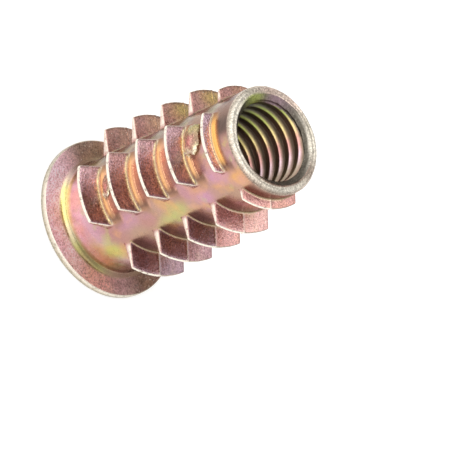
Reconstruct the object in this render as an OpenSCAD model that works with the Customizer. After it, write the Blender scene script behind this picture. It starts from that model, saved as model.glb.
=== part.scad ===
// Threaded wood insert, cast in one piece: a round bush with a thin flange at one end, four rows
// of screw teeth along a right-handed helix outside, a bore for a machine thread inside, and a
// hexagon socket in the flange end for the key that drives it in.
//
// The insert stands on its flange. The origin is the centre of the flange's outer face, +Z runs
// along the axis to the tip, and +X passes through the last tooth, on the cast parting line.

/* [Body] */
// Length from the flange's outer face to the tip
overall_l = 22.2; // [19:0.1:30]
// Diameter of the bare shank between the teeth
shank_d = 9.5; // [9.3:0.1:10.5]
// Size of the chamfer round the outside of the tip
tip_chamfer = 0.25; // [0.1:0.05:0.35]

/* [Flange] */
// Diameter of the flange
flange_d = 13.5; // [12.5:0.1:18]
// Thickness of the flange
flange_t = 0.6; // [0.4:0.05:1.5]
// Size of the chamfers on the two edges of the flange's rim
flange_chamfer = 0.08; // [0.04:0.02:0.16]
// Radius of the fillet between the flange and the shank
flange_fillet_r = 0.25; // [0.1:0.05:0.6]

/* [Screw teeth] */
// Diameter over the crest of the first tooth, next to the flange
thread_d = 13.5; // [12.8:0.1:15]
// Diameter over the crest of the last full tooth, before the lead-in
thread_end_d = 12.95; // [12.4:0.1:14.6]
// Distance along the axis from one turn of teeth to the next
thread_pitch = 3.68; // [3:0.02:5]
// Rows of teeth round the shank
tooth_rows = 4; // [3:1:4]
// Bare length of shank from the flange to the middle of the first tooth's crest
bare_l = 3.5; // [2:0.05:5]
// Least bare length from the middle of the last tooth's crest to the tip
tip_bare_l = 1.2; // [1:0.05:3]
// Width of a tooth where it leaves the shank, across the row
tooth_w = 5.4; // [4:0.1:6]
// Draft angle of the two end faces of a tooth
tooth_draft = 3.7; // [0:0.1:8]
// Thickness of a full tooth at its crest
crest_t = 0.45; // [0.3:0.05:0.8]
// Thickness of a tooth where it leaves the shank
root_t = 0.85; // [0.8:0.05:1.6]
// How far the tip-side flank leans back towards the flange between shank and crest
flank_lean = 0.05; // [0:0.05:0.3]

/* [Lead-in] */
// Number of lowered teeth at the tip that start the screw in the wood
lead_teeth = 4; // [2:1:6]
// Diameter over the crest of the lowered tooth that lies farthest from the tip
lead_first_d = 11.6; // [11.2:0.1:12.4]
// Diameter over the crest of the lowered tooth that lies nearest the tip
lead_last_d = 11.1; // [10.8:0.1:12]

/* [Bore] */
// Diameter of the bore, the inner diameter of the machine thread
bore_d = 6.9; // [6.4:0.05:7.2]
// Diameter of the bore's mouth at the tip
bore_mouth_d = 7.95; // [7.2:0.05:8.3]
// Outer diameter of the machine thread, at the bottom of its grooves
machine_thread_d = 7.9; // [7.4:0.05:8.1]
// Pitch of the machine thread
machine_pitch = 1.25; // [1.1:0.05:1.5]

/* [Hexagon socket] */
// Width of the socket across its flats
socket_af = 8; // [7.6:0.1:8.2]
// Diameter of the round that blunts the corners of the socket
socket_corner_d = 8.6; // [8.3:0.05:8.9]
// Depth of the socket
socket_depth = 5; // [3:0.1:8]
// Size of the chamfer round the socket's mouth
socket_chamfer = 0.3; // [0.1:0.05:0.5]

/* [Hidden] */
$fn = 96;

metal = [0.80, 0.62, 0.52];
cut_past = 0.5;                   // how far a cutter runs past the face that it opens
groove_overlap = 0.1;             // how far the thread's grooves start inside the bore
fillet_steps = 6;                 // chords in the quarter round of the flange's fillet
start_azimuth = 180;              // azimuth of the first tooth, opposite the last one

shank_r = shank_d / 2;
thread_r = thread_d / 2;
thread_end_r = thread_end_d / 2;
flange_r = flange_d / 2;
bore_r = bore_d / 2;
mouth_r = bore_mouth_d / 2;
machine_thread_r = machine_thread_d / 2;
socket_corner_r = socket_corner_d / 2;
socket_floor_h = socket_af / 2 - bore_r;

// The teeth reach halfway into the thinnest stretch of wall, at the socket's corners
tooth_seat_r = (shank_r + socket_corner_r) / 2;
tooth_step_z = thread_pitch / tooth_rows;
first_crest_z = flange_t + bare_l;
last_crest_z = overall_l - tip_bare_l;
tooth_count = floor((last_crest_z - first_crest_z) / tooth_step_z) + 1;
full_teeth = tooth_count - lead_teeth;
helix_angle = atan(thread_pitch / (PI * (shank_r + thread_r)));

// Share of the way from the shank up to the full crest at radius r
function rise(r) = (r - shank_r) / (thread_r - shank_r);
// Distance of the tip-side flank from the middle of the crest, along the axis
function front_z(r) = crest_t / 2 + flank_lean * (1 - rise(r));
// Distance of the flange-side flank from the middle of the crest, along the axis
function back_z(r) = front_z(r) - root_t + (root_t - crest_t) * rise(r);
// Half the width of a tooth at distance x from the axis, along the middle of its row
function half_w(x) = tooth_w / 2 - (x - shank_r) * tan(tooth_draft);
// Step k of n even steps from a to b
function step_value(a, b, k, n) = a + (b - a) * k / max(n, 1);
// Crest radius of tooth i, counted from the flange: the full teeth taper a little towards the
// tip, and the lowered ones of the lead-in taper on from a smaller radius
function crest_r(i) =
    i < full_teeth
    ? step_value(thread_r, thread_end_r, i, full_teeth - 1)
    : step_value(lead_first_d, lead_last_d, i - full_teeth, lead_teeth - 1) / 2;

module insert_body() {
    color(metal)
    difference() {
        union() {
            bush();
            screw_teeth();
        }
        machine_bore();
        hex_socket();
    }
}

// Flange and shank as one turned outline
module bush() {
    fillet_r = shank_r + flange_fillet_r;
    rotate_extrude()
    polygon([
        [0, 0],
        [flange_r - flange_chamfer, 0],
        [flange_r, flange_chamfer],
        [flange_r, flange_t - flange_chamfer],
        [flange_r - flange_chamfer, flange_t],
        for (step = [0 : fillet_steps])
            let (a = 90 * step / fillet_steps)
            [fillet_r - flange_fillet_r * sin(a), flange_t + flange_fillet_r * (1 - cos(a))],
        [shank_r, overall_l - tip_chamfer],
        [shank_r - tip_chamfer, overall_l],
        [0, overall_l],
    ]);
}

// Every tooth on its place along the helix
module screw_teeth() {
    for (i = [0 : tooth_count - 1])
        translate([0, 0, first_crest_z + i * tooth_step_z])
        rotate(start_azimuth + i * 360 / tooth_rows)
        tooth(crest_r(i));
}

// One tooth in the row along +X: a ring tilted to the helix, cut off by two drafted end faces
module tooth(top_r) {
    slab_h = 4 * root_t;
    reach = top_r + cut_past;
    intersection() {
        rotate([helix_angle, 0, 0])
        rotate_extrude()
        polygon([
            [tooth_seat_r, back_z(shank_r)],
            [shank_r, back_z(shank_r)],
            [top_r, back_z(top_r)],
            [top_r, front_z(top_r)],
            [shank_r, front_z(shank_r)],
            [tooth_seat_r, front_z(shank_r)],
        ]);
        translate([0, 0, -slab_h / 2])
        linear_extrude(slab_h)
        polygon([
            [0, -half_w(0)],
            [reach, -half_w(reach)],
            [reach, half_w(reach)],
            [0, half_w(0)],
        ]);
    }
}

// Bore right through, with a 45 degree mouth at the tip and the grooves of the machine thread
module machine_bore() {
    mouth_h = mouth_r - bore_r;
    translate([0, 0, -cut_past])
    cylinder(r = bore_r, h = overall_l + 2 * cut_past);
    translate([0, 0, overall_l - mouth_h])
    cylinder(r1 = bore_r, r2 = mouth_r + cut_past, h = mouth_h + cut_past);
    thread_grooves(socket_depth + socket_floor_h, overall_l - mouth_h);
}

// The machine thread between two heights, each turn as a ring-shaped groove with 60 degree sides
module thread_grooves(low, high) {
    turns = floor((high - low) / machine_pitch);
    first = (low + high - (turns - 1) * machine_pitch) / 2;
    inner_r = bore_r - groove_overlap;
    root_half = machine_pitch / 16;
    mouth_half = root_half + (machine_thread_r - inner_r) * tan(30);
    for (turn = [0 : turns - 1])
        translate([0, 0, first + turn * machine_pitch])
        rotate_extrude()
        polygon([
            [inner_r, -mouth_half],
            [machine_thread_r, -root_half],
            [machine_thread_r, root_half],
            [inner_r, mouth_half],
        ]);
}

// Hexagon socket with blunt corners, a chamfered mouth and a cone down to the bore
module hex_socket() {
    translate([0, 0, -cut_past])
    intersection() {
        cylinder(d = socket_af / cos(30), h = socket_depth + cut_past, $fn = 6);
        cylinder(r = socket_corner_r, h = socket_depth + cut_past);
    }
    translate([0, 0, -cut_past])
    cylinder(r1 = socket_corner_r + socket_chamfer + cut_past, r2 = socket_corner_r,
             h = socket_chamfer + cut_past);
    translate([0, 0, socket_depth])
    cylinder(r1 = socket_af / 2, r2 = bore_r, h = socket_floor_h);
}

insert_body();
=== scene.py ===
"""Looks of a threaded wood insert: a die-cast zinc bush with four rows of screw teeth, a thin
flange, a machine thread inside and a hexagon socket in the flange end, all under the coloured
film of a yellow passivate that is worn bright on the edges. Painted light and shade are laid
into the film's colours.

The script is laid out as an add-on and is run as a script. The insert stands on its flange, with
+Z along its axis to the tip. Lengths are in metres, except in tables that are in mm.
"""

import math

import bmesh
import bpy
import numpy as np
from bpy.props import FloatProperty, FloatVectorProperty, IntProperty, PointerProperty
from mathutils import Matrix, Vector


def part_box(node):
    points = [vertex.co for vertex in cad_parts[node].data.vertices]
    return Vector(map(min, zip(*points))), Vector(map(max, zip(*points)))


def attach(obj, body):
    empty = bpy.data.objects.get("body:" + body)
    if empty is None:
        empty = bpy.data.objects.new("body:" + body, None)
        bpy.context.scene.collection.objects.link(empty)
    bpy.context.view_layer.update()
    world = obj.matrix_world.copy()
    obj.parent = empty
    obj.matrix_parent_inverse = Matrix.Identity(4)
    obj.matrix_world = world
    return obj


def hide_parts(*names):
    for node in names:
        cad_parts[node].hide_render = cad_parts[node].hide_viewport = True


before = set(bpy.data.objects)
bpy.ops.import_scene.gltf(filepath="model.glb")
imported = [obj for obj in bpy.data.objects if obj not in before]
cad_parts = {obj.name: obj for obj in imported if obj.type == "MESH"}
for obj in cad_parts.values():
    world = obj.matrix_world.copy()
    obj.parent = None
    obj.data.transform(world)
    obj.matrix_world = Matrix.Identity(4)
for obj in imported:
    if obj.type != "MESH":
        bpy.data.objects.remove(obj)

bl_info = {
    "name": "Threaded wood insert",
    "version": (1, 0, 0),
    "blender": (4, 5, 0),
    "location": "3D View > Sidebar > Insert",
    "description": "Builds a die-cast threaded wood insert and the stage it stands on",
    "category": "Object",
}

MM = 0.001
FULL_TURN = 2 * math.pi
BODY_NODE = "insert_body"
BODY_LOW, BODY_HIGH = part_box(BODY_NODE)


# ---- settings


def length(name, description, default, high=100):
    """A length that a user may change; its default and its limit are given in mm."""
    limits = {"default": default * MM, "min": 0.0, "max": high * MM, "precision": 5}
    return FloatProperty(
        name=name, description=description, subtype="DISTANCE", unit="LENGTH", **limits
    )


def colour(name, description, default):
    """A plain colour that a user may change."""
    return FloatVectorProperty(
        name=name, description=description, default=default, size=3, min=0, max=1, subtype="COLOR"
    )


class BushSizes(bpy.types.PropertyGroup):
    """Shank, tip, flange, bore and socket"""

    overall_l: length("Length", "From the flange's outer face to the tip", BODY_HIGH[2] / MM)
    shank_d: length("Shank", "Diameter of the bare shank", 9.5)
    tip_chamfer: length("Tip chamfer", "Chamfer round the tip", 0.25)
    flange_d: length("Flange", "Diameter of the flange", (BODY_HIGH[0] - BODY_LOW[0]) / MM)
    flange_t: length("Flange thickness", "Thickness of the flange", 0.6)
    flange_round: length("Rim round", "Round on the rim's edges", 0.1)
    flange_fillet: length("Flange fillet", "Fillet between flange and shank", 0.6)
    bore_d: length("Bore", "Inner diameter of the machine thread", 6.9)
    bore_mouth_d: length("Bore mouth", "Diameter of its mouth at the tip", 7.95)
    thread_root_d: length("Thread root", "Outer diameter of the machine thread", 7.9)
    machine_pitch: length("Machine pitch", "Pitch of the machine thread", 1.25)
    socket_af: length("Socket flats", "Width of the socket across its flats", 8)
    socket_corner_d: length("Socket corners", "Round on its blunt corners", 8.6)
    socket_depth: length("Socket depth", "Depth of the socket", 5)
    socket_chamfer: length("Socket chamfer", "Chamfer round the socket's mouth", 0.3)


class TeethSizes(bpy.types.PropertyGroup):
    """The screw teeth outside"""

    thread_d: length("First crest", "Diameter over the first tooth", 13.5)
    thread_end_d: length("Last full crest", "Diameter over the last full tooth", 12.95)
    thread_pitch: length("Screw pitch", "From one turn of teeth to the next", 3.68)
    tooth_rows: IntProperty(name="Rows", description="Rows of teeth", default=4, min=3, max=4)
    bare_l: length("Bare shank", "From the flange to the first crest", 3.5)
    tip_bare_l: length("Bare tip", "Least length up to the tip", 1.2)
    tooth_w: length("Tooth width", "Width of a tooth at the shank", 5.4)
    tooth_draft: FloatProperty(
        name="End draft", description="Of the end faces", default=math.radians(3.7), subtype="ANGLE"
    )
    crest_t: length("Crest", "Thickness of a tooth near its crest", 0.45)
    crest_land: length("Crest land", "Width of a crest's worn land", 0.33)
    root_t: length("Root", "Thickness of a tooth at the shank", 0.85)
    flank_lean: length("Flank lean", "How far it leans back", 0.05)
    root_fillet: length("Root fillet", "Fillet round a tooth's foot", 0.15)
    ramp_l: length("Ramp length", "Reach of the ramp at a foot", 0.8)
    ramp_h: length("Ramp height", "Height of that ramp at the flank", 0.26)
    edge_round: length("Edge round", "Round on a tooth's edges", 0.07)
    lead_teeth: IntProperty(name="Lead-in", description="Lowered teeth", default=4, min=2, max=6)
    lead_first_d: length("Lead-in start", "Crest of the first lowered tooth", 11.6)
    lead_last_d: length("Lead-in end", "Crest of the last lowered tooth", 11.1)
    parting_ridge: length("Parting ridge", "Height on the parting line", 0.04)


class FilmColours(bpy.types.PropertyGroup):
    """Colours of the passivate film and the worn metal, and of painted light and shade"""

    pink: colour("Pink", "The film's main colour", (0.47, 0.24, 0.215))
    lilac: colour("Lilac", "Where the film is thin", (0.54, 0.28, 0.37))
    tan: colour("Tan", "Where the film is a little thicker", (0.45, 0.3, 0.2))
    orange: colour("Orange", "Where the film is thick", (0.76, 0.4, 0.15))
    green: colour("Green", "Where the film is thickest", (0.5, 0.56, 0.16))
    # Rose is painted light: on the flange, on the shank beside it, on the flanks' tops and in the
    # thread's lit line
    rose_light: colour("Rose", "Bright film on the flange", (1.0, 0.7, 0.79))
    # Salmon is painted light: on the flanks, the flange, the ring, the lumps and the thread's lit
    # line
    salmon_light: colour("Salmon", "The upper part of the flanks", (0.86, 0.43, 0.37))
    # Mauve also lays painted shade, on the left row's flanks, under the ring and on the flange
    mauve: colour("Mauve", "Flanks of the first row, ends of the teeth", (0.52, 0.28, 0.24))
    # Plum is painted shade: on the flanks' lower parts, in the socket, the mouth and on the flange
    plum_shade: colour("Plum", "The lower part of the flanks", (0.44, 0.3, 0.34))
    # Umber is painted shade: beside and under the teeth, in the hollows, fillet and grooves, on the
    # flange and in the bore
    umber_shade: colour("Umber", "Dark film beside the teeth and in the bore", (0.24, 0.13, 0.09))
    # Peach is also painted light, in the hollows and on the right row's flanks
    peach: colour("Peach", "In front of the teeth's feet", (0.92, 0.5, 0.29))
    # Gold is also a painted highlight: along the feet, in the hollows, on the lumps' lips and in
    # the thread's lit line
    gold: colour("Gold", "In the fillets", (1.00, 0.86, 0.34))
    # Teal is painted shade in the bore
    teal: colour("Teal", "Deep in the machine thread", (0.07, 0.115, 0.1))
    sage: colour("Sage", "Gap beside the first row, and the rim", (0.42, 0.36, 0.26))
    # The worn edge's colour also lays painted highlights and glints
    bright: colour("Worn edge", "Where the film is rubbed off", (0.94, 0.86, 0.73))
    # Amber is painted reflected light in the hollows at the feet
    amber_light: colour("Amber", "Film in the hollows at the feet", (0.98, 0.52, 0.16))
    # Dusk is the darkest painted shade
    dusk_shade: colour("Dusk", "The darkest, dullest film", (0.085, 0.065, 0.055))


class StageSizes(bpy.types.PropertyGroup):
    """Floor and camera"""

    floor_w: length("Floor", "Width of the floor", 3000, high=10000)
    camera_distance: length("Camera distance", "From the insert's tip", 1000, high=10000)
    frame_w: length("Picture width", "Width that the picture shows", 38.78)


SETTINGS = {
    "insert_bush": BushSizes,
    "insert_teeth": TeethSizes,
    "insert_film": FilmColours,
    "insert_stage": StageSizes,
}


# ---- mesh helpers


def new_mesh_object(name, points, faces):
    """A mesh object from points in metres and faces as lists of indices."""
    mesh = bpy.data.meshes.new(name)
    mesh.from_pydata([tuple(p) for p in points], [], faces)
    mesh.validate()
    obj = bpy.data.objects.new(name, mesh)
    bpy.context.scene.collection.objects.link(obj)
    return obj


def mend(obj, merge=0.0):
    """Merges points that lie closer than merge, if it is given, and turns all faces outwards."""
    bm = bmesh.new()
    bm.from_mesh(obj.data)
    if merge:
        bmesh.ops.remove_doubles(bm, verts=bm.verts, dist=merge)
        bmesh.ops.dissolve_degenerate(bm, edges=bm.edges, dist=merge)
    bmesh.ops.recalc_face_normals(bm, faces=bm.faces)
    bm.to_mesh(obj.data)
    bm.free()


def unite(obj, other):
    """Joins two closed solids into one."""
    mod = obj.modifiers.new("unite", "BOOLEAN")
    mod.operation = "UNION"
    mod.solver = "MANIFOLD"
    mod.object = other
    dg = bpy.context.evaluated_depsgraph_get()
    mesh = bpy.data.meshes.new_from_object(obj.evaluated_get(dg))
    obj.modifiers.clear()
    obj.data = mesh
    bpy.data.objects.remove(other)


def arc(centre, radius, start, stop, steps):
    """Points (r, z) on an arc round centre, angles in degrees."""
    turns = [math.radians(start + (stop - start) * k / steps) for k in range(steps + 1)]
    return [(centre[0] + radius * math.cos(q), centre[1] + radius * math.sin(q)) for q in turns]


# ---- the bush

COLUMNS = 144  # columns of faces round the bush
AZIMUTHS = np.arange(COLUMNS) * FULL_TURN / COLUMNS
SHANK_RINGS = 92  # rings of points up the shank
FILLET_STEPS, RIM_STEPS, SEAT_RINGS, WALL_RINGS = 8, 4, 6, 7

# Waves that make a line round the axis uneven: how many go round, size of each
LINE_WAVES = ((3, 0.35), (7, 0.3), (13, 0.2), (22, 0.25), (37, 0.2))

# The worn tip: a nick in the mouth's edge, its azimuth and half-width in degrees and its reach,
# then how far each line round the tip wanders
NICK_AT, NICK_HALF_W = 287.0, 3.0
NICK_OUT, NICK_DOWN = 0.1 * MM, 0.07 * MM
TIP_ROUND = 0.04 * MM
MOUTH_WANDER, GROOVE_WANDER = 0.025 * MM, 0.03 * MM
EDGE_WANDER, CHAMFER_WANDER = 0.03 * MM, 0.04 * MM
TIP_GROOVE = 0.035 * MM
TIP_GROOVE_PROFILE = ((-0.13, 0), (-0.06, 1), (0.06, 1), (0.12, 0))  # mm across, share of depth

# How far the cone on the socket's floor starts inside the socket's flats
FLOOR_LEDGE = 0.02 * MM

# The machine thread: half of the root's flat as a share of the pitch, half the thread's angle,
# where below the tip the turns end, and over what length they run out
ROOT_HALF_FLAT = 0.0625
THREAD_HALF_ANGLE = math.radians(30)
RUN_OUT_END, RUN_OUT_L = 0.25 * MM, 0.65 * MM

# Shares of the pitch at which the thread's rows of points lie
THREAD_ROWS = np.array(
    (0, 0.05, 0.08, 0.13, 0.19, 0.25, 0.285, 0.31, 0.4)
    + (0.5, 0.6, 0.69, 0.715, 0.75, 0.81, 0.87, 0.92, 0.95)
)


def ring_of(r, z):
    """One ring of points; r and z are single values or one value per column."""
    x, y = r * np.cos(AZIMUTHS), r * np.sin(AZIMUTHS)
    return np.stack(np.broadcast_arrays(x, y, z), axis=1)


def wave(seed):
    """A smooth uneven line round the axis, between about -1 and 1."""
    return sum(size * np.sin(k * AZIMUTHS + seed * (1.7 + 0.9 * k)) for k, size in LINE_WAVES)


def tip_rings(b):
    """Rings over the tip's uneven edge: the mouth's edge, two worn lips, the outer chamfer."""
    top, mouth_r, end = b.overall_l, b.bore_mouth_d / 2, b.shank_d / 2
    outer_r = end - b.tip_chamfer
    nick = np.exp(-(((np.degrees(AZIMUTHS) - NICK_AT) / NICK_HALF_W) ** 2))
    inner = mouth_r + MOUTH_WANDER * wave(1) + NICK_OUT * nick
    low = NICK_DOWN * nick
    small = 0.3 * TIP_ROUND
    lines = [(mouth_r, top - TIP_ROUND), (inner + small, top - small - low)]
    lines.append((inner + TIP_ROUND, top - low))
    groove = np.clip(TIP_GROOVE * (0.7 + 0.5 * wave(2)), 0, None)
    middle = (mouth_r + outer_r) / 2 + GROOVE_WANDER * wave(3)
    lines += [(middle + across * MM, top - groove * deep) for across, deep in TIP_GROOVE_PROFILE]
    edge = outer_r + EDGE_WANDER * wave(4)
    lines += [(edge - TIP_ROUND, top), (edge + 0.7 * TIP_ROUND, top - 0.7 * TIP_ROUND)]
    z_end = top - b.tip_chamfer + CHAMFER_WANDER * wave(5)
    for inwards, up in ((1.5, 1.5), (0.5, 0.5), (0.0, -1.0)):
        lines.append((end - inwards * TIP_ROUND, z_end + up * TIP_ROUND))
    return [ring_of(r, z) for r, z in lines]


def outside_rings(b):
    """Rings from the bore's mouth over the tip, down the shank and round the flange."""
    shank_r, flange_r, seat = b.shank_d / 2, b.flange_d / 2, b.flange_t
    f, e = b.flange_fillet, b.flange_round
    levels = np.linspace(b.overall_l - b.tip_chamfer - 0.25 * MM, seat + f + 0.08 * MM, SHANK_RINGS)
    flat = np.linspace(shank_r + f + 0.15 * MM, flange_r - e - 0.05 * MM, SEAT_RINGS)
    profile = [(shank_r, z) for z in levels]
    profile += arc((shank_r + f, seat + f), f, 180, 270, FILLET_STEPS)
    profile += [(r, seat) for r in flat]
    profile += arc((flange_r - e, seat - e), e, 90, 0, RIM_STEPS)
    profile += arc((flange_r - e, e), e, 0, -90, RIM_STEPS)
    profile.append((flange_r - e - 0.3 * MM, 0.0))
    return tip_rings(b) + [ring_of(r, z) for r, z in profile]


def socket_rings(b):
    """Rings through the socket's chamfered mouth, up its walls to its floor."""
    off = AZIMUTHS % (math.pi / 3) - math.pi / 6
    wall = np.minimum(b.socket_af / 2 / np.cos(off), b.socket_corner_d / 2)
    mouth_r = b.socket_corner_d / 2 + b.socket_chamfer
    rings = [ring_of(mouth_r + 0.25 * MM, 0.0), ring_of(mouth_r, 0.0)]
    # the chamfer is a cone, so it ends higher on the flats than at the corners
    cone_end = np.clip(mouth_r - wall, 0, None)
    rings += [ring_of(mouth_r + (wall - mouth_r) * s, cone_end * s) for s in (0.5, 1.0)]
    for s in np.linspace(0.15, 1.0, WALL_RINGS):
        rings.append(ring_of(wall, cone_end + (b.socket_depth - cone_end) * s))
    rings.append(ring_of(b.socket_af / 2 - FLOOR_LEDGE, b.socket_depth))
    return rings


def thread_phase(b, a, z):
    """Place in the machine thread's turn: 0 in the middle of the root, 0.5 on the crest."""
    return (z / b.machine_pitch - a / FULL_TURN) % 1.0


def thread_radius(b, a, z):
    """Radius of the machine-threaded bore with its two cones, in direction a at height z."""
    phase = thread_phase(b, a, z)
    off = np.minimum(phase, 1 - phase)
    root_r, crest_r = b.thread_root_d / 2, b.bore_d / 2
    fall = np.clip(off - ROOT_HALF_FLAT, 0, None) * b.machine_pitch / math.tan(THREAD_HALF_ANGLE)
    # the turns run out before the mouth
    deep = np.clip((b.overall_l - z - RUN_OUT_END) / RUN_OUT_L, 0, 1)
    r = crest_r + (np.maximum(root_r - fall, crest_r) - crest_r) * deep
    floor_cone = b.socket_af / 2 - FLOOR_LEDGE - (z - b.socket_depth)
    mouth_cone = b.bore_mouth_d / 2 - (b.overall_l - TIP_ROUND - z)
    return np.maximum(np.maximum(r, floor_cone), mouth_cone)


def bore_columns(b):
    """Points of the threaded bore, one list of rows per column, rows following the helix."""
    low, high, p = b.socket_depth, b.overall_l - TIP_ROUND, b.machine_pitch
    first, last = math.floor(low / p) - 2, math.floor(low / p) + math.ceil((high - low) / p) + 2
    rows = np.concatenate([(turn + THREAD_ROWS) * p for turn in range(first, last)])
    columns = []
    for k in range(COLUMNS + 1):
        a = k * FULL_TURN / COLUMNS
        z = np.clip(rows + p * a / FULL_TURN, low, high)
        r = thread_radius(b, a % FULL_TURN, z)
        columns.append(np.stack([r * math.cos(a), r * math.sin(a), z], axis=1))
    return columns


def ring_faces(count):
    """Quads between count rings of COLUMNS points, numbered one ring after the other."""
    faces = []
    for k in range(count - 1):
        a, b = k * COLUMNS, (k + 1) * COLUMNS
        for j in range(COLUMNS):
            after = (j + 1) % COLUMNS
            faces.append((a + j, a + after, b + after, b + j))
    return faces


def build_bush(b):
    """The bush as one closed mesh."""
    rings = outside_rings(b) + socket_rings(b)
    columns = bore_columns(b)
    points = np.concatenate(rings + columns)
    faces = ring_faces(len(rings))
    base, rows = len(rings) * COLUMNS, len(columns[0])
    for c in range(COLUMNS):
        for k in range(rows - 1):
            a = base + c * rows + k
            faces.append((a, a + 1, a + rows + 1, a + rows))
    obj = new_mesh_object("bush", points, faces)
    mend(obj, merge=0.0005 * MM)
    return obj


# ---- the teeth

# Rows of teeth, counted from the first tooth: they stand at -X, -Y, +X and +Y. The left and the
# right one lie on the parting line.
ROW_LEFT, ROW_FRONT, ROW_RIGHT, ROW_BACK = range(4)

# Levels of a tooth: below the shank's surface in mm, and steps up its fillet, wall and edge
FOOT_LEVELS = (-0.22, -0.05)
FOOT_SINK = 0.006 * MM
FOOT_STEPS, WALL_STEPS, EDGE_STEPS = 6, 7, 4

# Points along a tooth's long sides, as shares of their half-length, closer at the parting line
LONG_SIDE = sorted(set(np.round(np.linspace(-1, 1, 21), 4)) | {-0.04, -0.02, 0.02, 0.04})
CORNER_R = 0.12 * MM
CORNER_STEPS = 3  # points round each of the four corners
LEAST = 0.02 * MM  # the smallest corner, and the least width left between two corners

RIDGE_W = 0.07 * MM  # half-width of the ridge on the parting line
RIDGE_LEAN = 0.018  # how far a flank falls back from the parting line, per length


class ToothPlan:
    """Where each tooth stands and how high it is, worked out from the sizes."""

    def __init__(self, b, t):
        self.t = t
        self.shank_r = b.shank_d / 2
        self.step_z = t.thread_pitch / t.tooth_rows
        self.first_z = b.flange_t + t.bare_l
        room = b.overall_l - t.tip_bare_l - self.first_z
        self.count = math.floor(room / self.step_z + 1e-6) + 1
        self.full = self.count - t.lead_teeth
        self.helix = math.atan(t.thread_pitch / (math.pi * (b.shank_d + t.thread_d) / 2))
        self.full_h = t.thread_d / 2 - self.shank_r

    def height(self, i):
        t = self.t
        if i < self.full:
            first, last, share = t.thread_d, t.thread_end_d, i / max(self.full - 1, 1)
        else:
            first, last = t.lead_first_d, t.lead_last_d
            share = (i - self.full) / max(t.lead_teeth - 1, 1)
        return (first + (last - first) * share) / 2 - self.shank_r

    def azimuth(self, i):
        return math.pi + i * FULL_TURN / self.t.tooth_rows

    def middle_z(self, i):
        return self.first_z + i * self.step_z


def tooth_levels(t, height):
    """(height above the shank, how far the outline stands out), from the foot to the crest."""
    f, e = t.root_fillet, t.edge_round
    levels = [(z * MM, f) for z in FOOT_LEVELS]
    for k in range(FOOT_STEPS + 1):
        a = math.radians(90 * k / FOOT_STEPS)
        sink = FOOT_SINK * (1 - k / FOOT_STEPS)
        levels.append((f * (1 - math.cos(a)) - sink, f * (1 - math.sin(a))))
    for k in range(1, WALL_STEPS):
        levels.append((f + (height - e - f) * k / WALL_STEPS, 0.0))
    for k in range(EDGE_STEPS + 1):
        a = math.radians(90 * k / EDGE_STEPS)
        levels.append((height - e + e * math.sin(a), -e * (1 - math.cos(a))))
    return levels


def tooth_front(t, rise):
    """Height of the tip-side flank from the middle; rise is 0 at the shank and 1 at the crest."""
    return t.crest_land - t.crest_t / 2 + (t.flank_lean + t.crest_t - t.crest_land) * (1 - rise)


def parting_ridge(t, y):
    """Height of the fine ridge on the parting line, y away from it."""
    return t.parting_ridge * math.exp(-((y / RIDGE_W) ** 2))


def tooth_outline(plan, h, out, height, parting):
    """Outline of a tooth at height h: points (y, z) round the rounded four-sided section."""
    t = plan.t
    rise = 1 - (height - min(max(h, 0), height)) / plan.full_h
    half_w = t.tooth_w / 2 - max(h, 0) * math.tan(t.tooth_draft) + out * (0.3 if out > 0 else 1)
    # the ramp in front of the foot, which is shorter on lower teeth
    ramp = t.ramp_l * math.sqrt(height / plan.full_h) * (1 - min(max(h, 0) / t.ramp_h, 1) ** 0.6)
    front = tooth_front(t, rise) + (ramp if out > 0 and not parting else out)
    back = -t.crest_t / 2 - (t.root_t - t.crest_t - t.flank_lean) * (1 - rise) - out
    corner = max(min(CORNER_R + max(out, 0), (front - back) / 2 - LEAST), LEAST)
    span = half_w - corner

    def swell(y):
        return parting_ridge(t, y) - abs(y) * RIDGE_LEAN if parting else 0.0

    def corner_points(y, z, start):
        turns = [math.radians(start - 30 * k) for k in range(CORNER_STEPS)]
        return [(y + corner * math.cos(q), z + corner * math.sin(q)) for q in turns]

    end = swell(span)
    front_in, back_in = front + end - corner, back - end + corner
    points = [(s * span, front + swell(s * span)) for s in LONG_SIDE]
    points += corner_points(span, front_in, 60)
    points += corner_points(span, back_in, 0)
    points += [(s * span, back - swell(s * span)) for s in reversed(LONG_SIDE)]
    points += corner_points(-span, back_in, 240)
    points += corner_points(-span, front_in, 180)
    return points


def cap_faces(base):
    """Faces over the end of a tooth whose outline starts at point number base."""
    n = len(LONG_SIDE)
    back = base + n + 2 * CORNER_STEPS  # first point of the flange-side edge
    last = base + n - 1
    faces = []
    for j in range(n - 1):
        opposite = back + n - 1 - j
        faces.append((base + j, opposite, opposite - 1, base + j + 1))
    faces.append(tuple(range(last, last + 2 * CORNER_STEPS + 2))[::-1])
    faces.append((*range(back + n - 1, back + n + 2 * CORNER_STEPS), base)[::-1])
    return faces


def build_tooth(plan, i):
    """Points and faces of tooth i, a closed loft of outlines from below the shank to the crest."""
    t = plan.t
    height = plan.height(i)
    parting = i % 2 == 0
    levels = tooth_levels(t, height)
    points, count = [], 0
    for h, out in levels:
        outline = tooth_outline(plan, h, out, height, parting)
        count = len(outline)
        r = plan.shank_r + h
        for y, z in outline:
            extra = 0.0
            if parting and h > height - t.edge_round * 0.5:
                extra = min(0.4 * parting_ridge(t, y), t.thread_d / 2 - r)
            x = math.sqrt(max((r + extra) ** 2 - y * y, 0))
            points.append((x, y, z + y * math.tan(plan.helix)))
    faces = []
    for k in range(len(levels) - 1):
        a, b = k * count, (k + 1) * count
        faces += [(a + j, b + j, b + (j + 1) % count, a + (j + 1) % count) for j in range(count)]
    faces += [face[::-1] for face in cap_faces(0)]
    faces += cap_faces((len(levels) - 1) * count)
    turn = Matrix.Rotation(plan.azimuth(i), 3, "Z")
    lift = Vector((0, 0, plan.middle_z(i)))
    return [tuple(turn @ Vector(p) + lift) for p in points], faces


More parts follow.
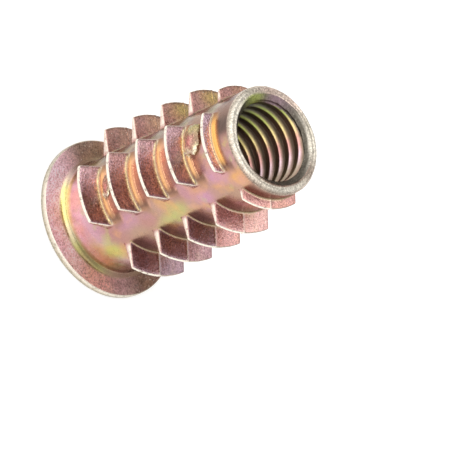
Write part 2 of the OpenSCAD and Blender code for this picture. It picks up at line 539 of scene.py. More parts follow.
def build_teeth(plan):
    """All the teeth as closed solids in one mesh."""
    points, faces = [], []
    for i in range(plan.count):
        p, f = build_tooth(plan, i)
        base = len(points)
        points += p
        faces += [tuple(base + v for v in face) for face in f]
    obj = new_mesh_object("teeth", points, faces)
    mend(obj)
    return obj


# ---- lumps of cast metal

# Lumps that the casting has kept beside the teeth: azimuth in degrees, height in mm, and size in mm
# round the shank, along it and outwards
LUMPS = (
    (257.5, 17.4, 2.7, 1.9, 0.36),
    (263.0, 6.1, 1.9, 0.95, 0.12),
)

# Waves round a lump's edge: how many go round, size, start
LUMP_EDGE = ((6, 0.05, 0), (11, 0.05, 1), (19, 0.03, 0))


def build_lumps(shank_r):
    """Small uneven blobs of cast metal, as closed solids."""
    obj = new_mesh_object("lumps", [], [])
    whole = bmesh.new()
    for at, z, wide, tall, high in LUMPS:
        first = len(whole.verts)
        bmesh.ops.create_icosphere(whole, subdivisions=4, radius=1.0)
        whole.verts.ensure_lookup_table()
        turn = Matrix.Rotation(math.radians(at), 3, "Z")
        for v in whole.verts[first:]:
            out, side, up = v.co
            bumps = 0.12 * math.sin(7 * side + 3 * up) + 0.06 * math.sin(11 * up - 5 * side + 2)
            around = math.atan2(up, side)
            edge = sum((size * math.sin(k * around + at0) for k, size, at0 in LUMP_EDGE), 1.0)
            side, up = (math.copysign(abs(c) ** 0.8, c) for c in (side, up))
            # square shoulders, so that the lump stands up steeply from the shank
            out = math.copysign(abs(out) ** 0.5, out) * (1 + bumps)
            r, angle = shank_r + out * high * MM, side * edge * wide / 2 * MM / shank_r
            level = z * MM + up * edge * tall / 2 * MM
            v.co = turn @ Vector((r * math.cos(angle), r * math.sin(angle), level))
    whole.to_mesh(obj.data)
    whole.free()
    mend(obj)
    return obj


# ---- the film's colours, with painted light and shade

# In every table below, azimuths and half-widths are in degrees, and other lengths are in mm.

# Clouds on the bare shank: azimuth, half-width, height, half-height, strength, colour
SHANK_CLOUDS = (
    (303, 16, 3, 1.2, 0.5, "lilac"),
    (308, 10, 7.4, 1.2, 0.8, "lilac"),
    (330, 11, 3.4, 1, 0.95, "green"),
    (322, 16, 1.9, 0.8, 0.6, "green"),
    (262, 12, 2.2, 1.2, 0.5, "peach"),
    (350, 14, 1.7, 0.9, 0.7, "green"),
    (318, 9, 12.6, 1.5, 0.55, "green"),
    (325, 8, 10.6, 1.2, 0.45, "green"),
    (308, 9, 11, 1.3, 0.8, "tan"),
    (305, 9, 15.4, 1.3, 0.9, "pink"),
    (318, 8, 16.3, 0.9, 0.9, "lilac"),
    (303, 8, 19, 1, 0.9, "lilac"),
    (315, 10, 21, 0.8, 0.8, "orange"),
    (322, 10, 7.6, 1.2, 0.7, "tan"),
    (315, 9, 9.4, 1, 0.8, "pink"),
    (328, 10, 19.6, 1.2, 0.6, "tan"),
    (45, 20, 2.4, 1.2, 0.7, "lilac"),
    (48, 9, 8, 2, 0.5, "green"),
    (42, 9, 13.5, 1.8, 0.7, "lilac"),
    (47, 10, 19.5, 1.5, 0.7, "orange"),
    (135, 18, 3, 1.4, 0.6, "tan"),
    (132, 9, 9.5, 2, 0.7, "lilac"),
    (138, 9, 15.5, 1.7, 0.5, "green"),
)

# The gap between the first two rows of teeth, greenish and darkened with painted shade: its
# azimuth and half-width, and the painted shadow lines along the teeth's ends beside it, as
# azimuth, half-width, strength, colour
GAP_AT, GAP_HALF_W = 226, 12
GAP_SHADOW_LINES = ((214, 4.5, 0.8, "umber_shade"), (213, 2.2, 0.6, "dusk_shade"), (236, 3, 0.6, "umber_shade"))

# Tables by azimuth of film colours with painted light and shade: azimuth, half-width, strength,
# colour
# The flange's face: lighter on one side and darker on others, as painted light and shade
FLANGE_LIGHT_AND_FILM = (
    (272, 80, 1, "rose_light"),
    (310, 60, 1, "rose_light"),
    (343, 20, 0.75, "salmon_light"),
    (190, 22, 1, "umber_shade"),
    (198, 20, 0.3, "sage"),
    (12, 21, 0.85, "mauve"),
    (14, 16, 0.4, "plum_shade"),
    (42, 28, 1, "umber_shade"),
    (42, 26, 0.35, "dusk_shade"),
    (85, 26, 0.7, "salmon_light"),
    (120, 30, 0.6, "pink"),
    (150, 18, 0.4, "orange"),
)
# The flange's fillet: painted shade on three sides, and gold
FILLET_SHADE_AND_FILM = (
    (322, 28, 0.75, "umber_shade"),
    (12, 30, 0.8, "umber_shade"),
    (205, 26, 0.9, "umber_shade"),
    (110, 50, 0.8, "gold"),
)
# The ring at the tip: film colours, with painted light and painted shade
RING_LIGHT_AND_FILM = (
    (178, 20, 0.55, "mauve"),
    (205, 14, 0.4, "sage"),
    (145, 16, 0.35, "salmon_light"),
    (115, 14, 0.45, "sage"),
    (55, 16, 0.65, "umber_shade"),
    (330, 24, 0.25, "tan"),
)
# Colours of the painted highlight along the machine thread
THREAD_HIGHLIGHT = (
    (155, 30, 1, "green"),
    (195, 22, 0.85, "teal"),
    (118, 14, 0.8, "gold"),
    (95, 16, 1, "salmon_light"),
    (75, 14, 1, "rose_light"),
    (50, 22, 0.9, "sage"),
)
# The cone in the mouth: green film and painted shade
MOUTH_FILM_AND_SHADE = ((200, 16, 1.0, "green"), (165, 18, 0.8, "plum_shade"))

# How worn the flange's rim is: azimuth, share
RIM_AT = (0, 15, 35, 120, 180, 215, 240, 255, 360)
RIM_WEAR = (0.9, 0.5, 0.05, 0.6, 0.6, 0.15, 0.5, 1.0, 0.9)

# By row of teeth: how strong the painted highlight in gold along the foot is, and how light the
# flanks are painted, as painted light and shade
FOOT_HIGHLIGHT = (0.2, 1.0, 0.18, 0.8)
FLANK_LIGHT_LEVEL = (0.78, 1.0, 0.98, 0.9)
# Teeth whose flanks have a painted light level of their own
SHADED_TEETH = {13: 0.86, 18: 0.88}  # teeth whose flanks have a level of their own

# Painted reflected light and painted shade in the hollows in front of the feet, by row and for the
# last teeth of the front and back rows: reach along the shank, strength, colour
HOLLOW_LIGHT = ((1.9, 0.5, "pink"), (1.5, 1.0, "peach"), (0.7, 0.5, "amber_light"), (0.34, 0.9, "gold"))
HOLLOWS_LIGHT_AND_SHADE = (((0.9, 0.9, "umber_shade"),), HOLLOW_LIGHT, ((1.5, 1.0, "umber_shade"),), HOLLOW_LIGHT)
HOLLOW_LAST_LIGHT_AND_SHADE = ((1.05, 1.0, "umber_shade"), (0.85, 1.0, "amber_light"))

# Flanks, by turn from the flange: painted light in rose on the front and back rows, olive on the
# left row, and on the right row painted light in salmon on each side of the parting line and in
# rose on its right
LAST_TURN = 4
FLANK_TOP_LIGHT = (0.5, 0.22, 0.34, 0.5)
FLANK_OLIVE = (0.1, 0.25, 0.8, 0.75, 0.15)
FLANK_RIGHT_LIGHT = ((0, 0, 0), (0, 0.3, 0), (0, 0.8, 0.15), (0.4, 1.0, 0.5), (0.7, 0.9, 0.1))

NEAR = 0.02 * MM  # how far off a surface a point still counts as on it


def smooth(x, low, high):
    """A soft step from 0 at low to 1 at high."""
    s = np.clip((x - low) / (high - low), 0, 1)
    return s * s * (3 - 2 * s)


def step(x, edge, low, high):
    """The same with low and high in mm from an edge."""
    return smooth((x - edge) / MM, low, high)


def bell(x, wide):
    """1 where x is 0, falling softly over wide on both sides."""
    return np.exp(-((x / wide) ** 2))


class Film:
    """The film on each point of a mesh: its colour, with painted light and shade laid in, and how
    worn, grainy, cloudy and dull it is.
    """

    def __init__(self, obj, colours):
        self.mesh = obj.data
        co = np.empty(len(self.mesh.vertices) * 3)
        self.mesh.vertices.foreach_get("co", co)
        x, y, self.z = co.reshape(-1, 3).T
        self.r = np.hypot(x, y)
        self.a = np.arctan2(y, x)
        self.a_deg = np.degrees(self.a) % 360
        self.colours = colours
        self.tint = np.tile(np.array(colours.pink), (len(x), 1))
        self.worn, self.grain, self.cloud, self.dull = (np.zeros(len(x)) for _ in range(4))

    def turned(self, centre):
        """Degrees from azimuth centre to each point."""
        return (self.a_deg - centre + 180) % 360 - 180

    def spot(self, at, wide, fullness=1.0):
        """A soft spot round azimuth at; a fullness above 1 gives it a flat middle."""
        return np.minimum(fullness * bell(self.turned(at), wide), 1)

    def lay(self, share, name, clear=0.8):
        """Lays a colour over the points, by share from 0 to 1, and clears the clouds there."""
        share = np.clip(share, 0, 1)
        wanted = np.array(getattr(self.colours, name))
        self.tint = self.tint + (wanted - self.tint) * share[:, None]
        self.cloud = self.cloud * (1 - clear * share)

    def coat(self, where, *layers):
        """Lays (share, colour) layers one after the other where the mask says."""
        for share, name in layers:
            self.lay(where * share, name)

    def lay_round(self, where, table, fullness=1.0):
        """Lays the colours of a table by azimuth where the mask says."""
        for at, wide, strength, name in table:
            self.lay(where * strength * self.spot(at, wide, fullness), name)

    def dim(self, where, share):
        """Darkens the film to a share of its colour where the mask says."""
        self.tint = np.where(where[:, None], self.tint * share, self.tint)

    def wear_and_highlight(self, share):
        """Rubs the film off to bare metal, by share from 0 to 1; it also lays painted highlights.
        """
        self.worn = np.maximum(self.worn, share)

    def put(self, where, **levels):
        """Sets worn, grain, cloud or dull where the mask says."""
        for name, level in levels.items():
            setattr(self, name, np.where(where, level, getattr(self, name)))

    def write(self):
        """Writes the film to the mesh as attributes."""
        layer = self.mesh.attributes.new("film", "FLOAT_COLOR", "POINT")
        rgba = np.concatenate([self.tint, np.ones((len(self.tint), 1))], axis=1)
        layer.data.foreach_set("color", rgba.astype(np.float32).ravel())
        for name in ("worn", "grain", "cloud", "dull"):
            layer = self.mesh.attributes.new(name, "FLOAT", "POINT")
            layer.data.foreach_set("value", getattr(self, name).astype(np.float32))


def film_under_flange(film, b, plan):
    face = (film.z < NEAR) & (film.r > b.socket_corner_d / 2)
    film.lay(face * 0.6, "tan")
    film.put(face, cloud=1.0, grain=0.6)


def film_on_shank(film, b, plan):
    z, r, a_deg = film.z, film.r, film.a_deg
    on = (np.abs(r - plan.shank_r) < 0.28 * MM) & (z > b.flange_t) & (z < b.overall_l)
    film.put(on, cloud=1.0)
    # painted light on the shank near the flange
    film.lay(on * (1 - step(z, 0, 2.2, 4.6)) * 0.65, "rose_light", clear=0.3)
    film.lay(on * 0.45 * step(z, 0, 4, 9), "tan", clear=0)
    level = z / MM
    for at, wide, up, tall, strength, name in SHANK_CLOUDS:
        cloud = bell(film.turned(at), wide) * bell(level - up, tall)
        film.lay(on * strength * np.minimum(cloud * 1.4, 1), name, clear=0.3)
    # the gap beside the first row is greenish and darkened with painted shade, darkest along the
    # teeth's ends as painted shadow lines
    drift = 1.5 * np.sin(level * 1.3 + 0.6) + 1.0 * np.sin(level * 3.1)
    gap = on * film.spot(GAP_AT + drift, GAP_HALF_W)
    film.lay(gap * (0.85 + 0.15 * np.sin(level * 2.1)), "sage", clear=0.4)
    film.lay(gap * 0.3, "green", clear=0)
    film.lay(gap * (0.6 + 0.15 * np.sin(level * 1.1 + 2)), "umber_shade", clear=0)
    film.lay(gap * 0.3, "dusk_shade", clear=0)
    for at, wide, strength, name in GAP_SHADOW_LINES:
        film.lay(on * strength * film.spot(at + 0.6 * drift, wide), name)
    # painted shade under the ring on the same side
    top = on * step(z, b.overall_l, -2.5, -1.7)
    dark = top * smooth(a_deg, 212, 224) * (1 - smooth(a_deg, 262, 284))
    film.lay(dark, "mauve")
    streaks = 0.85 + 0.15 * np.sin(level * 9 + a_deg / 3)
    film.lay(dark * (1 - smooth(a_deg, 258, 272)) * streaks, "umber_shade")
    film.lay(dark * 0.75 * (1 - smooth(a_deg, 262, 278)), "dusk_shade")


def film_on_flange(film, b, plan):
    z, r = film.z, film.r
    h, seat = r - plan.shank_r, b.flange_t
    face = (z > seat - NEAR) & (z < seat + 0.55 * MM) & (h > NEAR) & (r < b.flange_d / 2)
    # the flange's face: painted light and shade by azimuth over film colours
    film.lay(face, "salmon_light")
    film.lay_round(face, FLANGE_LIGHT_AND_FILM, fullness=1.3)
    film.put(face, grain=0.9, cloud=0.15)
    film.put(face & (h > 0.4 * MM), dull=1.6)
    # a yellow band where the fillet meets the shank, and olive further round
    band = (z > seat - NEAR) * (1 - step(z, seat, 0.45, 0.9))
    band = band * (1 - step(h, 0, 0.38, 0.56)) * (h > -0.05 * MM)
    film.lay(band * film.spot(262, 26, 1.4), "gold")
    film.lay(band * film.spot(322, 28, 1.3), "green")
    # painted shade in the fillet on three sides, and gold on a fourth
    film.lay_round(band, FILLET_SHADE_AND_FILM)
    film.grain = film.grain * (1 - 0.8 * band)
    # the rim: grey side and worn front edge
    rim = step(r, b.flange_d / 2, -0.1, -0.04) * (z < seat + NEAR)
    film.lay(rim, "sage")
    edge = rim * step(z, seat, -0.2, -0.12)
    film.wear_and_highlight(edge * np.interp(film.a_deg, RIM_AT, RIM_WEAR))
    film.put(rim > 0.5, grain=0.8)


class ToothPlace:
    """Where points lie as seen from tooth i: h above the shank, along round it and up the axis
    from the tooth's middle, and ahead of its tip-side flank."""

    def __init__(self, film, plan, i):
        t = plan.t
        off = (film.a - plan.azimuth(i) + math.pi) % FULL_TURN - math.pi
        self.i, self.turn, self.row = i, min(i // 4, LAST_TURN), i % 4
        self.height = plan.height(i)
        self.h = film.r - plan.shank_r
        self.rise = self.h / self.height
        self.along = film.r * np.sin(off)
        self.up = film.z - plan.middle_z(i) - self.along * math.tan(plan.helix)
        self.half_w = t.tooth_w / 2 - np.maximum(self.h, 0) * math.tan(t.tooth_draft)
        fallen = self.height - np.clip(self.h, 0, self.height)
        self.front = tooth_front(t, 1 - fallen / plan.full_h)
        self.ahead = self.up - self.front
        self.near = np.abs(off) < math.pi / 4
        self.on = self.near & (np.abs(self.up) < 0.8 * MM) & (self.h > 0.1 * MM)
        self.on &= np.abs(self.along) < self.half_w + 0.05 * MM
        self.flank = self.on & (self.ahead > -0.05 * MM) & (self.ahead < 0.12 * MM)
        self.lengthwise = 1 - step(np.abs(self.along), self.half_w, -0.35, 0.1)


def film_in_hollow(film, b, p):
    """Painted reflected light and painted shade in the hollow in front of a tooth's foot."""
    hollow = p.near & (p.ahead > -NEAR) & (p.ahead < 2.4 * MM) & (p.h < 0.5 * MM)
    hollow &= film.z < b.overall_l - 0.3 * MM
    plain = p.row in (ROW_FRONT, ROW_BACK)
    for reach, strength, name in HOLLOW_LAST_LIGHT_AND_SHADE if plain and p.turn == LAST_TURN else HOLLOWS_LIGHT_AND_SHADE[p.row]:
        fade = 1 - step(p.ahead, 0, reach * 0.55, reach)
        film.lay(hollow * fade * strength * p.lengthwise, name)
    # painted shade towards one end of the front row's hollows
    if p.row == ROW_FRONT:
        film.lay(hollow * step(-p.along, 0, 1.3, 2.5) * 0.85, "umber_shade")
    # painted shade by one end of the front and back rows' hollows
    if plain:
        end = bell(p.along - 2.3 * MM, 0.45 * MM)
        film.lay(hollow * end * (p.ahead < 1.2 * MM), "umber_shade")


def flank_film(p):
    """Painted light and film colours on a tooth's tip-side flank, over its ground of painted shade,
    as (share, colour).
    """
    if p.row == ROW_LEFT:
        olive = FLANK_OLIVE[p.turn] * bell(p.along, 1.4 * MM) * bell(p.rise - 0.6, 0.5)
        warm = 0.35 if p.turn > 0 else 0.0
        return ((1.0, "mauve"), (warm, "salmon_light"), (olive, "orange"), (olive * 0.5, "green"))
    if p.row == ROW_RIGHT:
        left, right, pale = FLANK_RIGHT_LIGHT[p.turn]
        side = step(p.along, 0, -0.03, 0.03)
        share = left + (right - left) * side
        return ((share, "salmon_light"), (pale * side, "rose_light"), (pale * side * 0.6, "peach"))
    if p.turn == LAST_TURN:
        return ((0.27, "rose_light"),)
    top = 1 - step(p.along, 0, -2.4, 0.9)
    return ((top * 0.45, "salmon_light"), (top * FLANK_TOP_LIGHT[p.turn], "rose_light"))


def film_on_flank(film, p):
    """The tip-side flank in painted light and shade, with a painted highlight along its foot."""
    # the flank: a ground of painted shade with painted light over it, then a painted light level by
    # row
    film.coat(p.flank, (1, "plum_shade"), *flank_film(p))
    film.dim(p.flank, SHADED_TEETH.get(p.i, FLANK_LIGHT_LEVEL[p.row]))
    film.put(p.flank, grain=0.65 if p.row == ROW_RIGHT else 1.0, cloud=0.25)
    # a painted highlight in gold along the foot
    foot = p.near & (p.h > 0.01 * MM) & (p.h < 0.2 * MM)
    foot &= (p.ahead > -NEAR) & (p.ahead < 0.17 * MM)
    film.coat(foot * FOOT_HIGHLIGHT[p.row] * p.lengthwise, (1, "gold"), (0.72, "bright"))
    film.put(foot, grain=0.35)
    # painted shade at one end of the front row's flanks
    if p.row == ROW_FRONT:
        film.lay(p.flank * 0.7 * step(-p.along, p.half_w, -0.3, -0.08), "umber_shade")
    # painted shade along the top of the left row's flanks
    if p.row == ROW_LEFT:
        film.lay(p.flank * 0.8 * step(p.h, p.height, -0.2, -0.1), "umber_shade")


def film_on_edges(film, t, p):
    """Painted shade on the underside; the crest and ends, worn bright, with painted shade and
    highlight on them; painted light and shade along the parting line.
    """
    # painted shade on the underside
    under = p.on & (p.up < -t.crest_t * 0.6)
    film.lay(under * 0.75, "umber_shade")
    film.put(under, grain=0.7)
    # the crest: painted shade along its edges, worn bright on its land
    crest = step(p.h, p.height, -0.07, -0.02) * p.near * (np.abs(p.up) < 0.6 * MM)
    film.lay(crest, "umber_shade")
    worn = step(p.up, -t.crest_t / 2, 0.02, 0.08)
    if p.row == ROW_RIGHT:  # less worn beyond the parting line
        worn = worn * (1 - 0.6 * step(p.along, 0, 0, 0.2))
    film.wear_and_highlight(crest * worn)
    # the ends: worn bright, more on the tip side, where it is also a painted highlight
    ends = step(np.abs(p.along), p.half_w, -0.06, -0.01) * p.on
    film.lay(ends, "mauve")
    tip_side = 0.5 + 0.5 * step(p.ahead, 0, -0.3, -0.12)
    film.wear_and_highlight(ends * tip_side * step(p.h, 0, 0.1, 0.4))
    # along the parting line: a painted highlight on the right row and painted shade on the left
    line = bell(p.along, 0.05 * MM) * (p.flank | (crest > 0.5))
    if p.row == ROW_RIGHT:
        film.wear_and_highlight(line * 0.7)
    elif p.row == ROW_LEFT:
        film.lay(line * 0.6, "umber_shade")


def film_on_teeth(film, b, plan):
    for i in range(plan.count):
        place = ToothPlace(film, plan, i)
        film_in_hollow(film, b, place)
        film_on_flank(film, place)
        film_on_edges(film, plan.t, place)


def film_on_lumps(film, b, plan):
    h = film.r - plan.shank_r
    for at, up, wide, tall, high in LUMPS:
        across = np.radians(film.turned(at)) * plan.shank_r / (wide / 2 * MM)
        along = (film.z - up * MM) / (tall / 2 * MM)
        far = np.hypot(across, along)
        near = (far < 1.5) & (h < high * 1.3 * MM) & (along > -0.85)
        # painted shadow beside the lump on one side
        film.lay(near * (far < 1.25) * (across > 0) * 0.8, "umber_shade")
        on = near & (far < 1.15) & (h > 0.04 * MM)
        film.lay(on, "tan")
        if high > 0.3:  # the large lump is dull and greenish on one side
            # painted shade with green on that side of the large lump
            film.coat(on * (1 - smooth(across, -0.8, 0.1)), (0.5, "green"), (0.4, "umber_shade"))
        # painted light on the lump's middle
        film.lay(on * bell(across - 0.2, 0.35) * bell(along, 0.5) * 0.9, "salmon_light")
        # a painted highlight in gold along its lip on one side
        lip = on * smooth(0.9 * across - 0.2 * along, 0.15, 0.5) * smooth(far, 0.68, 0.84)
        film.coat(lip, (1, "gold"), (0.7, "bright"))
        film.put(on, grain=0.9)


def film_on_tip(film, b, plan):
    z, r, top = film.z, film.r, b.overall_l
    outer_r, mouth_r = plan.shank_r - b.tip_chamfer, b.bore_mouth_d / 2
    flat = (z > top - 0.1 * MM) & (r > mouth_r - 0.03 * MM) & (r < outer_r + 0.06 * MM)
    film.lay(flat, "bright")
    film.lay_round(flat, RING_LIGHT_AND_FILM)
    # painted shade between the two worn lips, darkest along the inner one, with green on one side
    film.lay(flat * bell(r - (mouth_r + outer_r) / 2, 0.08 * MM) * 0.3, "sage")
    inner = flat * (1 - step(r, mouth_r, 0.1, 0.2))
    film.lay(inner * 0.95 * film.spot(5, 42, 1.4), "umber_shade")
    film.lay(inner * 0.8 * film.spot(208, 16), "green")
    chamfer = (z > top - b.tip_chamfer - 0.1 * MM) & (r >= outer_r + 0.05 * MM)
    film.coat(chamfer, (1, "bright"), (0.35, "sage"))
    shade = 0.25 + 0.35 * film.spot(345, 70, 1.4)
    film.lay(chamfer * step(r, plan.shank_r, -0.12, -0.06) * shade, "umber_shade")
    edge = (z > top - b.tip_chamfer - 0.14 * MM) & (r >= plan.shank_r - 0.01 * MM)
    film.lay(edge * shade, "umber_shade")
    film.dim(flat, 0.82)
    film.put(flat | chamfer, grain=0.75, cloud=0.0)


def film_in_bore(film, b, plan):
    z, r, top = film.z, film.r, b.overall_l
    bore = (r < b.bore_mouth_d / 2 + 0.01 * MM) & (z > b.socket_depth + 0.01 * MM)
    # painted shade through the whole bore
    film.coat(bore, (1, "umber_shade"), (0.5, "sage"))
    # a painted highlight along the flank of the machine thread that faces the mouth
    phase = thread_phase(b, film.a, z)
    line = bore * smooth(phase, 0.66, 0.7) * (1 - smooth(phase, 0.75, 0.83))
    line = line * (z < top - 0.5 * MM)
    film.lay(line, "salmon_light")
    film.lay_round(line, THREAD_HIGHLIGHT, fullness=1.3)
    # painted shade in teal on one side between the lit lines
    film.lay(bore * (1 - line) * film.spot(175, 28) * 0.7, "teal")
    # the plain cone inside the mouth, in painted shade
    cone = bore & (z > top - 0.75 * MM)
    film.coat(cone, (1, "umber_shade"), (0.6, "teal"))
    film.lay_round(cone, MOUTH_FILM_AND_SHADE)
    film.lay(cone * step(z, top, -0.22, -0.1) * 0.9 * film.spot(90, 30), "bright")
    film.put(bore, cloud=0.0, dull=1.0, grain=0.08)
    film.put(cone, grain=0.6)
    mouth_r = b.socket_corner_d / 2 + b.socket_chamfer
    socket = (z < b.socket_depth + 0.01 * MM) & (r < mouth_r)
    # painted shade, deepening down the socket
    film.lay(socket * smooth(z, 0, b.socket_depth) * 0.7, "plum_shade")
    film.put(socket, cloud=0.6)
    film.wear_and_highlight(((socket | (np.abs(r - mouth_r) < NEAR)) & (z < NEAR)) * 0.7)


def colour_the_film(obj, colours, b, plan):
    film = Film(obj, colours)
    for part in (film_under_flange, film_on_shank, film_on_flange, film_on_teeth):
        part(film, b, plan)
    for part in (film_on_lumps, film_on_tip, film_in_bore):
        part(film, b, plan)
    film.write()


# ---- materials

# Patches in the clouded film: scale per metre, low and high of the noise, strength, colour
PATCHES = (
    (420, 0.5, 0.64, 0.55, "orange"),
    (360, 0.52, 0.66, 0.5, "lilac"),
    (520, 0.6, 0.7, 0.45, "green"),
)

# Scales per metre of the noise in the metal's skin
FLECK_SCALE, DRIFT_SCALE, GLINT_SCALE = 7000, 2200, 9000
RUB_SCALE, GLOSS_SCALE, SKIN_SCALE = 2600, 1500, 5200
NOISE_LOW, NOISE_HIGH = 0.34, 0.66  # between them the noise mostly lies

DRIFT_SIZE = 0.4  # of the wide changes in lightness, where the fine flecks are 1
FLECK_DEPTH = (0.04, 0.38)  # change of lightness without and with grain
GLINT_SHARE = 0.8
GLOSS_ROUGHNESS, DULL_ROUGHNESS = (0.18, 0.32), 0.16
SKIN_DEPTH, SKIN_STRENGTH = 0.05 * MM, (0.05, 1.0)


class Nodes:
    """Short calls that add nodes to a material's tree."""

    def __init__(self, tree):
        self.tree = tree
        tree.nodes.clear()

    def add(self, kind, inputs=None, **settings):
        """A new node; each input, by name or number, is linked to a socket or set to a value."""
        node = self.tree.nodes.new("ShaderNode" + kind)
        for key, value in settings.items():
            setattr(node, key, value)
        for key, value in (inputs or {}).items():
            socket = node.inputs[key]
            if isinstance(value, bpy.types.NodeSocket):
                self.tree.links.new(value, socket)
            else:
                socket.default_value = (*value, 1) if socket.type == "RGBA" else value
        return node

    def attribute(self, name, output="Fac"):
        return self.add("Attribute", attribute_name=name).outputs[output]

    def noise(self, where, scale, detail=2.0, rough=0.5):
        inputs = {"Vector": where, "Scale": scale, "Detail": detail, "Roughness": rough}
        return self.add("TexNoise", inputs).outputs["Fac"]

    def ramp(self, value, low, high, out_low=0.0, out_high=1.0):
        inputs = {0: value, 1: low, 2: high, 3: out_low, 4: out_high}
        return self.add("MapRange", inputs, clamp=True).outputs["Result"]

    def mix(self, share, a, b):
        return self.add("Mix", {0: share, 6: a, 7: b}, data_type="RGBA").outputs[2]

    def math(self, operation, a, b):
        return self.add("Math", {0: a, 1: b}, operation=operation).outputs[0]


def passivate_material(c):
    """Satin zinc under a coloured film that carries painted light and shade, clouded and speckled
    with painted glints, and rubbed bright on its edges.
    """
    mat = bpy.data.materials.new("passivated_zinc")
    mat.use_nodes = True
    n = Nodes(mat.node_tree)
    where = n.add("NewGeometry").outputs["Position"]
    film = n.attribute("film", "Color")
    cloud, grain = n.attribute("cloud"), n.attribute("grain")
    for scale, low, high, share, name in PATCHES:
        patch = n.ramp(n.noise(where, scale, 3.0), low, high, 0.0, share)
        film = n.mix(n.math("MULTIPLY", patch, cloud), film, getattr(c, name))
    # fine light and dark flecks, strongest where the casting is grainy
    fleck = n.noise(where, FLECK_SCALE, 2.0, 0.6)
    fleck = n.ramp(fleck, NOISE_LOW, NOISE_HIGH, -1.0, 1.0)
    drift = n.ramp(n.noise(where, DRIFT_SCALE), NOISE_LOW, NOISE_HIGH, -DRIFT_SIZE, DRIFT_SIZE)
    depth = n.ramp(grain, 0, 1, *FLECK_DEPTH)
    level = n.math("MULTIPLY", n.math("ADD", fleck, drift), depth)
    inputs = {0: film, "Scale": n.math("ADD", level, 1.0)}
    film = n.add("VectorMath", inputs, operation="SCALE").outputs[0]
    # painted glints: rare specks of the bright colour, where the casting is grainy
    glint = n.ramp(n.noise(where, GLINT_SCALE, 1.0), 0.7, 0.76, 0.0, GLINT_SHARE)
    film = n.mix(n.math("MULTIPLY", glint, grain), film, c.bright)
    # bare metal where the film is worn, and painted highlights laid the same way, with remains of
    # the film in it
    rub = n.ramp(n.noise(where, RUB_SCALE, 3.0, 0.6), 0.34, 0.45, 0.3, 1.0)
    base = n.mix(n.math("MULTIPLY", n.attribute("worn"), rub), film, c.bright)
    rough = n.ramp(n.noise(where, GLOSS_SCALE), 0.3, 0.7, *GLOSS_ROUGHNESS)
    dull = n.math("MULTIPLY", n.attribute("dull"), DULL_ROUGHNESS)
    skin = n.noise(where, SKIN_SCALE, 3.0, 0.6)
    strength = n.ramp(grain, 0, 1, *SKIN_STRENGTH)
    inputs = {"Distance": SKIN_DEPTH, "Strength": strength, "Height": skin}
    bump = n.add("Bump", inputs).outputs["Normal"]
    inputs = {"Metallic": 1.0, "Base Color": base, "Normal": bump}
    inputs["Roughness"] = n.math("ADD", rough, dull)
    shader = n.add("BsdfPrincipled", inputs)
    n.add("OutputMaterial", {"Surface": shader.outputs[0]})
    return mat


# ---- operators

SHARP_ANGLE = math.radians(38)  # edges sharper than this aren't shaded smooth


class OBJECT_OT_insert_body(bpy.types.Operator):
    """Build the insert: bush, teeth and machine thread in one casting"""

    bl_idname = "object.insert_body"
    bl_label = "Insert body"

    def execute(self, context):
        scene = context.scene
        b, colours = scene.insert_bush, scene.insert_film
        plan = ToothPlan(b, scene.insert_teeth)
        body = build_bush(b)
        unite(body, build_teeth(plan))
        unite(body, build_lumps(plan.shank_r))
        body.name = body.data.name = "insert_casting"
        colour_the_film(body, colours, b, plan)
        body.data.materials.clear()
        body.data.materials.append(passivate_material(colours))
        body.data.shade_smooth()
        body.data.set_sharp_from_angle(angle=SHARP_ANGLE)
        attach(body, "root")
        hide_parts(BODY_NODE)
        return {"FINISHED"}


# The floor, just under the flange; its glow keeps it white round the shadow
FLOOR_COLOUR = (0.8, 0.8, 0.8)
FLOOR_GLOW = 0.36
FLOOR_Z = -0.01 * MM

# The soft light: its lean from straight up, the azimuth that it leans to, half its spread and
# half its soft edge, in degrees, then its level and the room's
SOFT_LEAN, SOFT_TURN = 21.0, -100.0
SOFT_SPREAD, SOFT_EDGE = 52.0, 5.0
SOFT_LEVEL, ROOM_LEVEL = 1.9, 0.95

# The camera in degrees, the picture's side in pixels, and where the middle of the tip lies in it
CAMERA_AZIMUTH, CAMERA_ELEVATION, CAMERA_ROLL = 25.0, 45.6, 64.6
PICTURE_PX = 470
TIP_PX = (274.1, 139.5)


def seen_directly(n):
    """1 for rays that show the background: from the camera, in a gloss or through glass."""
    path = n.add("LightPath")
    rays = n.math("ADD", path.outputs["Is Camera Ray"], path.outputs["Is Glossy Ray"])
    return n.math("MINIMUM", n.math("ADD", rays, path.outputs["Is Transmission Ray"]), 1.0)


def floor_material():
    """Matt white that still shows the shadow on it."""
    mat = bpy.data.materials.new("floor_white")
    mat.use_nodes = True
    n = Nodes(mat.node_tree)
    matt = n.add("BsdfDiffuse", {"Color": FLOOR_COLOUR})
    level = n.math("MULTIPLY", seen_directly(n), FLOOR_GLOW)
    glow = n.add("Emission", {"Strength": level})
    both = n.add("AddShader", {0: matt.outputs[0], 1: glow.outputs[0]})
    n.add("OutputMaterial", {"Surface": both.outputs[0]})
    return mat


def surroundings():
    """A pale room with one large soft light overhead."""
    world = bpy.data.worlds.new("surroundings")
    world.use_nodes = True
    n = Nodes(world.node_tree)
    lean, turn = math.radians(SOFT_LEAN), math.radians(SOFT_TURN)
    centre = (math.sin(lean) * math.cos(turn), math.sin(lean) * math.sin(turn), math.cos(lean))
    way = n.add("TexCoord").outputs["Generated"]
    dot = n.add("VectorMath", {0: way, 1: centre}, operation="DOT_PRODUCT")
    outside, inside = (math.cos(math.radians(SOFT_SPREAD + e)) for e in (SOFT_EDGE, -SOFT_EDGE))
    light = n.ramp(dot.outputs["Value"], outside, inside, ROOM_LEVEL, SOFT_LEVEL)
    # the background itself is plain white
    seen = n.add("LightPath").outputs["Is Camera Ray"]
    background = n.add("Background", {"Strength": n.math("MAXIMUM", light, seen)})
    n.add("OutputWorld", {"Surface": background.outputs[0]})
    return world


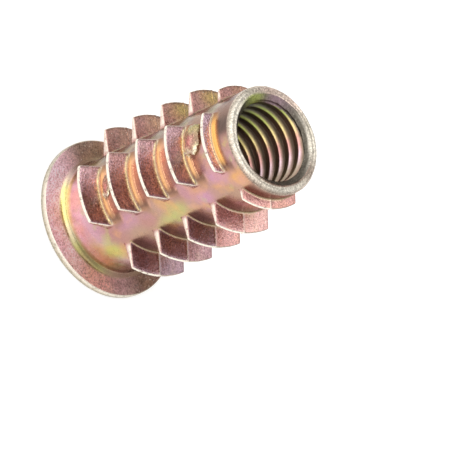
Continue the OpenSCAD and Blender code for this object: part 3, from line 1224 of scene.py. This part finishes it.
def make_camera(context):
    """A camera without perspective, rolled so that the insert leans to the upper right."""
    s, top = context.scene.insert_stage, context.scene.insert_bush.overall_l
    turn = Matrix.Identity(4)
    for angle, axis in ((CAMERA_AZIMUTH, "Z"), (90 - CAMERA_ELEVATION, "X"), (CAMERA_ROLL, "Z")):
        turn = turn @ Matrix.Rotation(math.radians(angle), 4, axis)
    data = bpy.data.cameras.new("camera")
    data.type = "ORTHO"
    data.ortho_scale = s.frame_w
    data.clip_end = 100
    camera = bpy.data.objects.new("camera", data)
    # from the tip's middle to the camera, in the camera's own directions
    px, middle = s.frame_w / PICTURE_PX, PICTURE_PX / 2
    way = ((middle - TIP_PX[0]) * px, (TIP_PX[1] - middle) * px, s.camera_distance)
    camera.matrix_world = Matrix.Translation((0, 0, top)) @ turn @ Matrix.Translation(way)
    context.scene.collection.objects.link(camera)
    context.scene.camera = camera
    context.scene.view_settings.view_transform = "Standard"


class OBJECT_OT_insert_stage(bpy.types.Operator):
    """Build the floor, the surroundings and the camera"""

    bl_idname = "object.insert_stage"
    bl_label = "Stage"

    def execute(self, context):
        half = context.scene.insert_stage.floor_w / 2
        corners = ((-half, -half), (half, -half), (half, half), (-half, half))
        floor = new_mesh_object("floor", [(x, y, FLOOR_Z) for x, y in corners], [(0, 1, 2, 3)])
        floor.data.materials.append(floor_material())
        context.scene.world = surroundings()
        make_camera(context)
        return {"FINISHED"}


class VIEW3D_PT_insert(bpy.types.Panel):
    """Lists the insert's pieces and sizes in the sidebar"""

    bl_label = "Threaded wood insert"
    bl_space_type = "VIEW_3D"
    bl_region_type = "UI"
    bl_category = "Insert"

    def draw(self, context):
        for operator in OPERATORS:
            self.layout.operator(operator.bl_idname)
        for name, group in SETTINGS.items():
            box = self.layout.box()
            box.label(text=group.__doc__)
            for key in group.__annotations__:
                box.prop(getattr(context.scene, name), key)


OPERATORS = (OBJECT_OT_insert_body, OBJECT_OT_insert_stage)
CLASSES = (*SETTINGS.values(), *OPERATORS, VIEW3D_PT_insert)


def register():
    for cls in CLASSES:
        bpy.utils.register_class(cls)
    for name, group in SETTINGS.items():
        setattr(bpy.types.Scene, name, PointerProperty(type=group))


def unregister():
    for name in SETTINGS:
        delattr(bpy.types.Scene, name)
    for cls in reversed(CLASSES):
        bpy.utils.unregister_class(cls)


def main():
    register()
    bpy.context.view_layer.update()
    bpy.ops.object.insert_body()
    bpy.ops.object.insert_stage()


if __name__ == "__main__":
    main()
